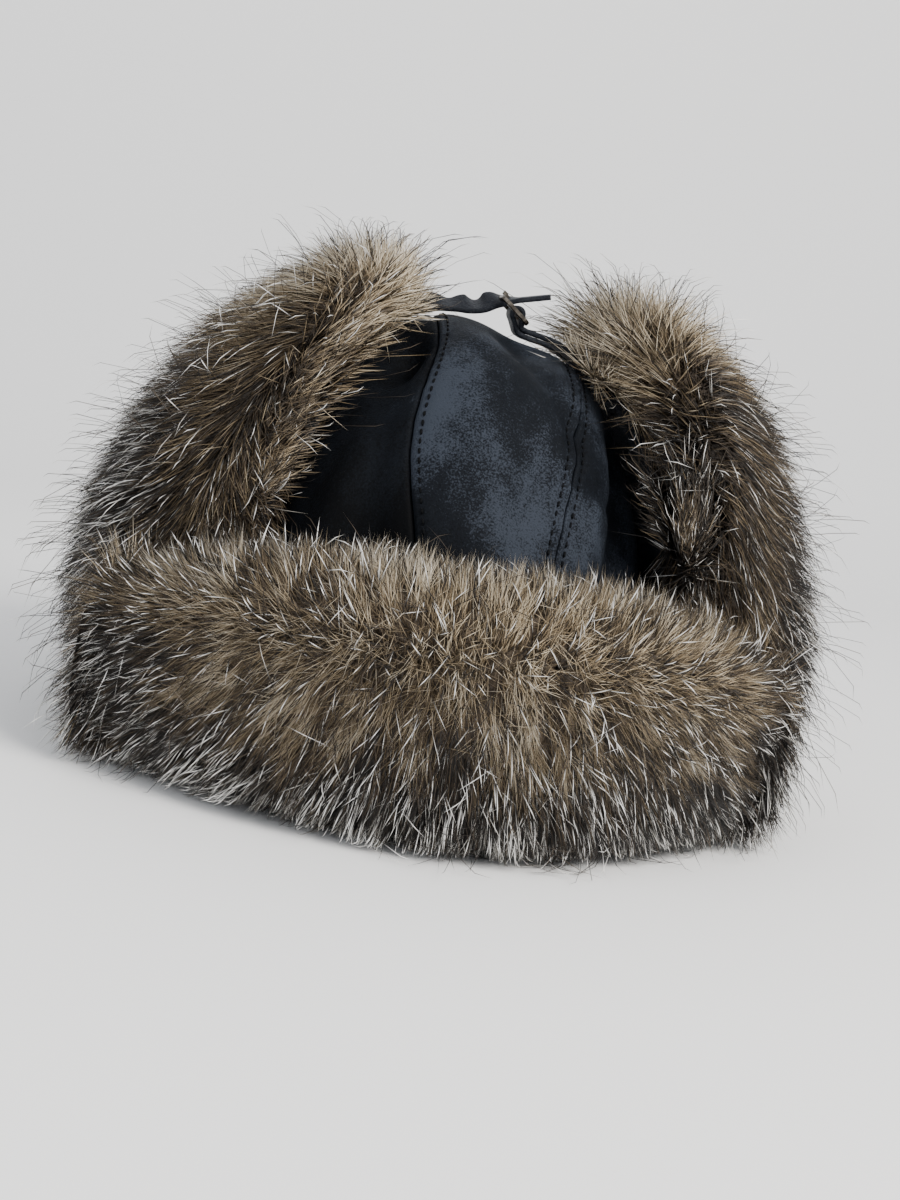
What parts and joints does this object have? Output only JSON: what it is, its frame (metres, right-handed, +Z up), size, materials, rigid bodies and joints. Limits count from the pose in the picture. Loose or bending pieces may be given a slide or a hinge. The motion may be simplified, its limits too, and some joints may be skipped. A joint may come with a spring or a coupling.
{
  "type": "fur trapper hat",
  "caption": "Soft leather bomber hat with a turned-up fur visor and fur ear flaps, buckled together over the crown by a narrow strap.",
  "frame": {"origin": "middle of the hat's bounding box, on the plane that its rim stands on", "axes": "+Z up through the crown, -Y towards the front of the hat, +X towards the right as seen from the front"},
  "size_m": [0.3096, 0.3118, 0.1976],
  "materials": {
    "crown_leather": "near-black navy leather with a worn suede-like nap",
    "flap_leather": "matt black leather",
    "strap_leather": "dull black leather with brown cut edges",
    "fur": "long raccoon-like fur, brown underfur with dark and white-tipped guard hairs",
    "buckle_metal": "dark antiqued metal, brighter on its edges"
  },
  "bodies": {
    "root": {"crown_centre": "crown_leather", "crown_left": "crown_leather", "crown_right": "crown_leather", "visor_leather": "flap_leather", "ear_neck_flap": "flap_leather", "visor_fur": "fur", "ear_neck_fur": "fur", "long_strap": "strap_leather", "short_strap": "strap_leather", "buckle_frame": "buckle_metal", "buckle_pin": "buckle_metal"}
  },
  "joints": []
}
